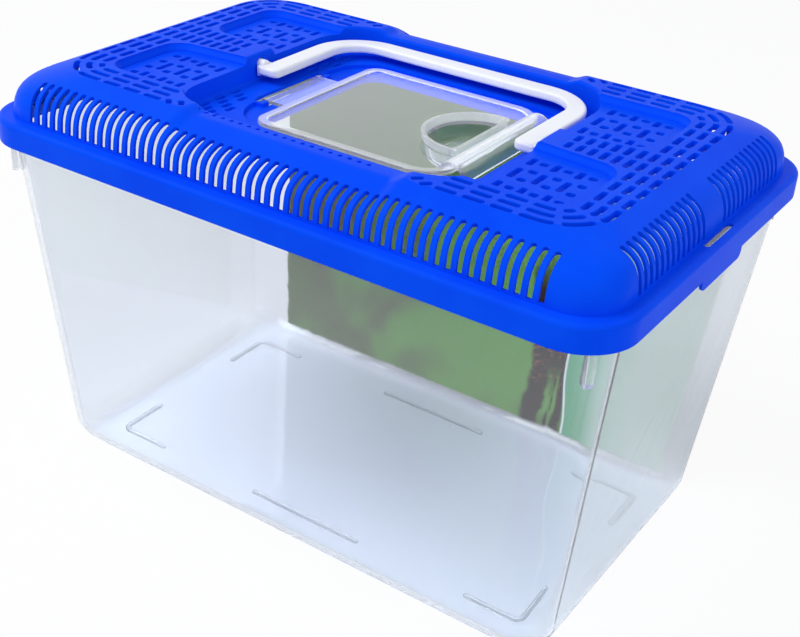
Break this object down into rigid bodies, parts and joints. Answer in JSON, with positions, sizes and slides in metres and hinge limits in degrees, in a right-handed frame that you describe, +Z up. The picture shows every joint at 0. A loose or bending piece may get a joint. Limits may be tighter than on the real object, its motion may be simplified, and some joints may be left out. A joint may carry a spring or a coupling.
{
  "type": "plastic aquarium",
  "caption": "Clear tapered plastic tank with a ventilated clip-on lid, a hinged feeding hatch with a finger pocket, a folding carrying handle and a printed card.",
  "frame": {"origin": "on the surface that the tank stands on, under the middle of the tub", "axes": "+X along the tank towards the hatch's free end, +Y towards the back wall with the card, +Z up"},
  "size_m": [0.25, 0.1614, 0.159],
  "materials": {
    "clear_tub": "clear, polished",
    "printed_card": "printed, satin",
    "blue_lid": "opaque, satin gloss",
    "clear_hatch": "clear, polished",
    "white_handle": "opaque, satin"
  },
  "bodies": {
    "tub": {"tub": "clear_tub", "label_card": "printed_card"},
    "lid": {"lid": "blue_lid"},
    "hatch": {"hatch": "clear_hatch"},
    "handle": {"handle": "white_handle"}
  },
  "joints": [
    {"name": "lid_lift", "type": "slide", "parent": "tub", "child": "lid", "axis": [0, 0, 1], "range_m": [0, 0.08]},
    {"name": "hatch_hinge", "type": "hinge", "parent": "lid", "child": "hatch", "pos_m": [-0.046, 0, 0.1474], "axis": [0, -1, 0], "range_deg": [0, 90]},
    {"name": "handle_fold", "type": "hinge", "parent": "lid", "child": "handle", "pos_m": [0, 0, 0.155], "axis": [1, 0, 0], "range_deg": [0, 180]}
  ]
}
